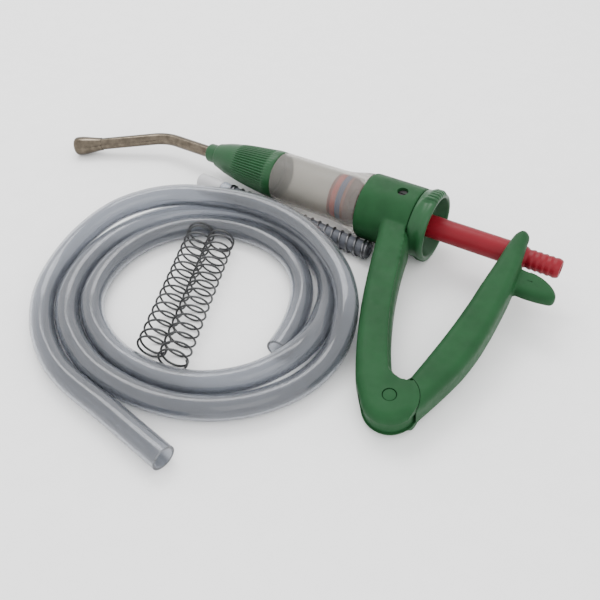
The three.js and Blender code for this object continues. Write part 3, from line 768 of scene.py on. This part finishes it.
def add_plunger():
    front = PISTON_FRONT
    barb_start = 198
    profile = [(front + 14, 2.6), (front + 14, ROD_R), (192, ROD_R), (196, 7.6), (barb_start, 6.4)]
    ridges = 5
    pitch = (ROD_END - 2.5 - barb_start) / ridges
    for i in range(ridges):
        x = barb_start + i * pitch
        profile += [(x + 0.7, 6.35), (x + pitch - 0.9, 7.0), (x + pitch - 0.2, 6.9)]
    profile += [(ROD_END - 1.6, 6.6), (ROD_END - 0.3, 6.0), (ROD_END, 5.4)]
    rod = sleeve(rounded(profile, 0.5, 3), [(ROD_END, 3.6), (front + 17, 3.6)], MEDIUM)
    trunnion = disc_z((TRUNNION_X, 0), -TRUNNION_HALF, TRUNNION_HALF, 3.0, 32)
    core = rod_x(TRUNNION_X - 5, TRUNNION_X + 5, ROD_R - 2, SMALL)
    pins = combine(trunnion, [core], "DIFFERENCE")
    rod = combine(rod, [pins], "UNION")
    piece("piston_rod_moulding", rod, GUN, RED_ROD, "red_rod", "plunger", "piston_rod")
    head = sleeve([(front - 0.6, 16), (front + 1.6, 16), (front + 1.6, 13), (front + 11, 13),
                   (front + 11, 16.2), (front + 13.6, 16.2)],
                  [(front + 13.6, 4.6), (front + 1, 4.6), (front + 0.6, 3), (front - 0.6, 3)])
    piece("piston_head_spool", head, GUN, PISTON, "piston_plastic", "plunger", "piston_head")
    for x, node, material, slot in ((front + 1.9, "piston_seal_front", ORANGE_SEAL, "orange_seal"),
                                    (front + 6.5, "piston_seal_rear", BLUE_SEAL, "blue_seal")):
        end = x + SEAL_WIDTH
        lip = rounded([(x, 13.35), (x, 16.5), ((x + end) / 2, 16.2), (end, 16.5), (end, 13.35)], 0.4)
        piece(node + "_ring", revolve(lip, 96, closed=True), GUN, material, slot, "plunger", node)


# ---- housing with the fixed handle --------------------------------------------------------
def handle_outline():
    """Runs on past the seam with the lever; seam_cutter trims it back after the edges are rounded."""
    pen = Outline(92, -8)
    pen.line(101, -31)
    pen.cubic(109, -60, 121.5, -101, 144.5, -141.5)
    pen.arc(*PIVOT, BOSS_R, math.pi * 1.22, math.pi * 1.87)
    pen.arc(*PIVOT, BOSS_R + 9, math.pi * 1.92, math.pi * 2.34)
    pen.line(174, -127.8)
    pen.cubic(171, -128.4, 165.5, -129.8, 160.8, -125.8)
    pen.cubic(140, -90, 131, -57, 124.8, -31)
    pen.line(114, -8)
    return pen.points


def seam_cutter():
    """Sector outside the boss where the lever's shoulder sits against it."""
    far = on_circle(PIVOT, 40, SEAM_START)
    near = on_circle(PIVOT, BOSS_R, SEAM_START)
    outer = Outline(far.x, far.y)
    outer.arc(*PIVOT, 40, SEAM_START, SEAM_END)
    inner = Outline(near.x, near.y)
    inner.arc(*PIVOT, BOSS_R, SEAM_START, SEAM_END)
    return prism(outer.points + inner.points[::-1], -20, 20)


def handle_half(y):
    """The handle thickens where it runs up into the collar."""
    return HANDLE_HALF + 3.6 * smooth_step((y + 52) / 30)


def add_housing():
    body = plate(handle_outline(), HANDLE_HALF, EDGE_ROUNDING, handle_half)
    collar = revolve(rounded([(HOUSING_FRONT, 22), (HOUSING_FRONT, 23.6), (HOUSING_FRONT + 1.2, HOUSING_R),
                              (HOUSING_BACK - 0.3, HOUSING_R), (HOUSING_BACK, HOUSING_R - 0.4)], 0.6), 160)
    body = melt([body, collar])
    cuts = [
        rod_x(HOUSING_FRONT - 1, 85, 19.45),
        rod_x(84.9, LOCK_X + 5, 20),
        rod_x(LOCK_X + 4.9, HOUSING_BACK + 1, 17),
        seam_cutter(),
        rod_x(HOUSING_BACK + 0.05, RING_BACK + 3, LUG_R + 0.8, 128),
        disc_z(PIVOT, -EYE_HALF - GAP, EYE_HALF + GAP, BOSS_R + 2),
        disc_z(PIVOT, -HANDLE_HALF - 1, HANDLE_HALF + 1, PIN_R + PIN_GAP),
        disc_z((LOCK_X, 0), 10, HOUSING_R + 2, 3.9, SMALL),
    ]
    body = combine(body, cuts, "DIFFERENCE")
    piece("housing_moulding", body, GUN, GREEN_BODY, "green_body", "pump_body", "pistol_housing")

    pin = combine(disc_z((LOCK_X, 0), 14.95, HOUSING_R - 2.6, 3.5, SMALL), [slot_cutter()], "DIFFERENCE")
    piece("lock_screw", pin, GUN, DARK_STEEL, "steel", "pump_body", "lock_pin")
    guide = sleeve([(86, 19.6), (92, 19.6)], [(92, ROD_R + 0.5), (86, ROD_R + 0.5)])
    piece("rod_guide_disc", guide, GUN, WHITE, "white_plastic", "pump_body", "rod_guide")
    plug = soften(disc_z(PIVOT, -HANDLE_HALF + 0.3, HANDLE_HALF - 0.3, PIN_R - 0.15), 0.5)
    piece("pivot_plug", plug, GUN, GREEN_BODY, "green_body", "pump_body", "pivot_pin")
    piece("return_spring_wire", sweep(return_spring_route(), 0.75, 12), GUN, STEEL_WIRE, "steel",
          "pump_body", "lever_return_spring")


def return_spring_route():
    """Two turns round the pivot pin."""
    steps = 89
    points = []
    for i in range(steps + 1):
        share = i / steps
        spot = on_circle(PIVOT, 7.6, share * 4 * math.pi)
        points.append((spot.x, spot.y, -1.2 + 2.4 * share))
    return points


def slot_cutter():
    """The screwdriver slot across the lock screw."""
    top = HOUSING_R - 3.8
    left = LOCK_X - 6
    right = LOCK_X + 6
    return prism([(left, -0.5), (right, -0.5), (right, 0.5), (left, 0.5)], top, top + 4)


# ---- dose ring ----------------------------------------------------------------------------
def lug_shape(x, angle, radius):
    """Swells the ring's rim into two opposed finger lugs with grooves across their crowns."""
    if radius < 23.6 or x < LUG_START:
        return radius
    out = radius
    for side in (LUG_TURN, LUG_TURN + math.pi):
        offset = (angle - side + math.pi) % (2 * math.pi) - math.pi
        reach = abs(offset) / LUG_HALF_TURN
        if reach < 1:
            swell = smooth_step((1 - reach) * 3.2)
            lift = min(1, (x - LUG_START) / 3.5)
            crown = LUG_R - 0.3 * max(0, x - RING_BACK + 2.6) ** 2
            out = radius + (crown - radius) * swell * lift
            if x > LUG_GROOVE_START and reach < 0.8:
                groove = max(0, math.cos(offset * 2 * math.pi / LUG_GROOVE_PITCH))
                out -= LUG_GROOVE_DEPTH * groove ** 2 * min(1, (x - LUG_GROOVE_START) / 1.6)
    return out


def add_dose_ring():
    wall = [(RING_FRONT, 24.1), (RING_FRONT + 0.4, 24.5), (RING_FRONT + 2, 24.6), (RING_FRONT + 3.2, 24.4),
            (RING_FRONT + 4.5, 24.0), (RING_FRONT + 6, 23.9), (RING_FRONT + 7.2, 24.1),
            (RING_FRONT + 8.3, 24.6), (RING_FRONT + 9.2, 24.95), (RING_BACK - 2.4, 25.0),
            (RING_BACK - 1.2, 24.7), (RING_BACK - 0.4, 24.1), (RING_BACK, 23.4)]
    bore = [(RING_BACK, 22.8), (RING_BACK - 0.4, 22.1), (RING_BACK - 1.2, 21.6), (RING_FRONT + 4, 20.8),
            (RING_FRONT + 3, 19.6), (RING_FRONT + 3, 9.2), (RING_FRONT, 9.2)]
    ring = sleeve(wall, bore, 480, lug_shape)
    groove_front = LOCK_X - LOCK_GROOVE_HALF
    groove_back = LOCK_X + LOCK_GROOVE_HALF
    tube = sleeve([(RING_TUBE_FRONT, 16.6), (groove_front, 16.6), (groove_front, 14.6),
                   (groove_back, 14.6), (groove_back, 16.6), (RING_FRONT + 1, 16.6)],
                  [(113, 9.2), (RING_TUBE_FRONT, 9.2)], 72)
    ring = combine(ring, [tube], "UNION")
    piece("dose_ring_moulding", ring, GUN, GREEN_TRIM, "green_trim", "dose_dial", "dose_ring", sharp=45)


# ---- lever --------------------------------------------------------------------------------
def lever_outline():
    """A little long at the tip, because melting rounds it down."""
    pen = Outline(172.5, -131)
    pen.line(172.9, -126.4)
    pen.cubic(176.8, -100, 180.6, -70, 181.2, -45)
    pen.line(183, -14)
    pen.quad(183.2, 2, 184.4, 9)
    pen.quad(186.6, 15.4, 191, 14)
    pen.quad(195.8, 12.4, 196, 3.5)
    pen.line(199, -18)
    pen.line(200.4, -38)
    pen.cubic(201.4, -66, 201.5, -90, 196.5, -110)
    pen.quad(192.5, -126, 185.4, -147)
    pen.line(180, -146)
    return pen.points


def spur_outline():
    pen = Outline(188, -17)
    pen.line(197, -13.4)
    pen.quad(209, -12.2, 217, -16.8)
    pen.quad(225, -21.4, 226, -26.8)
    pen.quad(226.2, -30.4, 221, -31)
    pen.quad(211, -33, 199, -32)
    pen.line(190, -32)
    return pen.points


def lever_half(y):
    """Slim grip, wide fork."""
    return HANDLE_HALF + (FORK_OUTER - HANDLE_HALF) * smooth_step((y + 95) / 65)


def lever_web():
    """Joins the eye to the grip, between the housing's cheeks."""
    x, y = PIVOT
    web = [(x + 2, y + EYE_R - 0.3), (179, -114), (190, -120), (x + EYE_R + 0.6, y + 1.5), (x, y)]
    return prism(web, -EYE_HALF, EYE_HALF)


def fork_slot():
    return prism([(170, 30), (170, -13), (205, -15.8), (205, 30)], -FORK_INNER, FORK_INNER)


def trunnion_slot():
    """Long groove inside each tine, leaning along the lever, that the trunnion slides in."""
    lean = Matrix.Rotation(-math.atan2(TRUNNION_X - PIVOT[0], -PIVOT[1]), 2)
    half = 3.35
    pen = Outline(half, 1.8)
    pen.arc(0, 1.8, half, 0.1, math.pi, 16)
    pen.arc(0, -1.6, half, math.pi, 2 * math.pi, 16)
    points = [lean @ point + Vector((TRUNNION_X, 0)) for point in pen.points]
    return prism(points, -TRUNNION_HALF - GAP, TRUNNION_HALF + GAP)


def spur_root():
    """The part of the spur between the tines, put back after the fork's gap is cut."""
    return plate(spur_outline(), SPUR_HALF, 5.0)


def add_lever():
    body = plate(lever_outline(), HANDLE_HALF, 5.0, lever_half)
    body = melt([body, plate(spur_outline(), SPUR_HALF, 4.0)])
    body = combine(body, [disc_z(PIVOT, -20, 20, BOSS_R + GAP, 96)], "DIFFERENCE")
    body = combine(body, [lever_web(), disc_z(PIVOT, -EYE_HALF, EYE_HALF, EYE_R)], "UNION")
    pin_hole = disc_z(PIVOT, -20, 20, PIN_R + PIN_GAP)
    spring_pocket = disc_z(PIVOT, -2.4, 2.4, 10.4)
    body = combine(body, [pin_hole, spring_pocket, fork_slot(), trunnion_slot()], "DIFFERENCE")
    body = combine(body, [spur_root()], "UNION")
    piece("lever_moulding", body, GUN, GREEN_BODY, "green_body", "lever", "squeeze_lever")


# ---- studio -------------------------------------------------------------------------------
def add_area(name, position, target, size, power):
    data = bpy.data.lights.new(name, "AREA")
    data.shape = "RECTANGLE"
    data.size = size[0]
    data.size_y = size[1]
    data.energy = power
    light = bpy.data.objects.new(name, data)
    bpy.context.scene.collection.objects.link(light)
    light.location = position
    light.rotation_euler = (Vector(target) - Vector(position)).to_track_quat("-Z", "Y").to_euler()


def add_studio():
    half = 4.0
    floor_mesh = mesh_from([(-half, -half, 0), (half, -half, 0), (half, half, 0), (-half, half, 0)],
                           [(0, 1, 2, 3)])
    floor = bpy.data.objects.new("floor", floor_mesh)
    bpy.context.scene.collection.objects.link(floor)
    floor.data.materials.append(surface("pale_floor", (0.93, 0.93, 0.93), 0.7, mottle=0.01, grain=200))
    world = bpy.data.worlds.new("studio")
    bpy.context.scene.world = world
    world.use_nodes = True
    background = world.node_tree.nodes["Background"]
    background.inputs["Color"].default_value = (1, 1, 1, 1)
    background.inputs["Strength"].default_value = 2.0
    add_area("key", (-0.5, 0.5, 1.1), (0, 0, 0), (0.9, 0.5), 10)
    add_area("fill", (0.7, -0.6, 0.9), (0, 0, 0), (0.8, 0.8), 3)


add_camera()
add_hose()
add_loose_spring("hose_spring_front", (-21.2, -77), 114.9, 16, 0)
add_loose_spring("hose_spring_back", (-4.1, -75.9), 117.5, 16.33, MESHED_PHASE)
add_armoured_tube()
add_nozzle()
add_cap()
add_barrel()
add_valves()
add_plunger()
add_housing()
add_dose_ring()
add_lever()
add_studio()
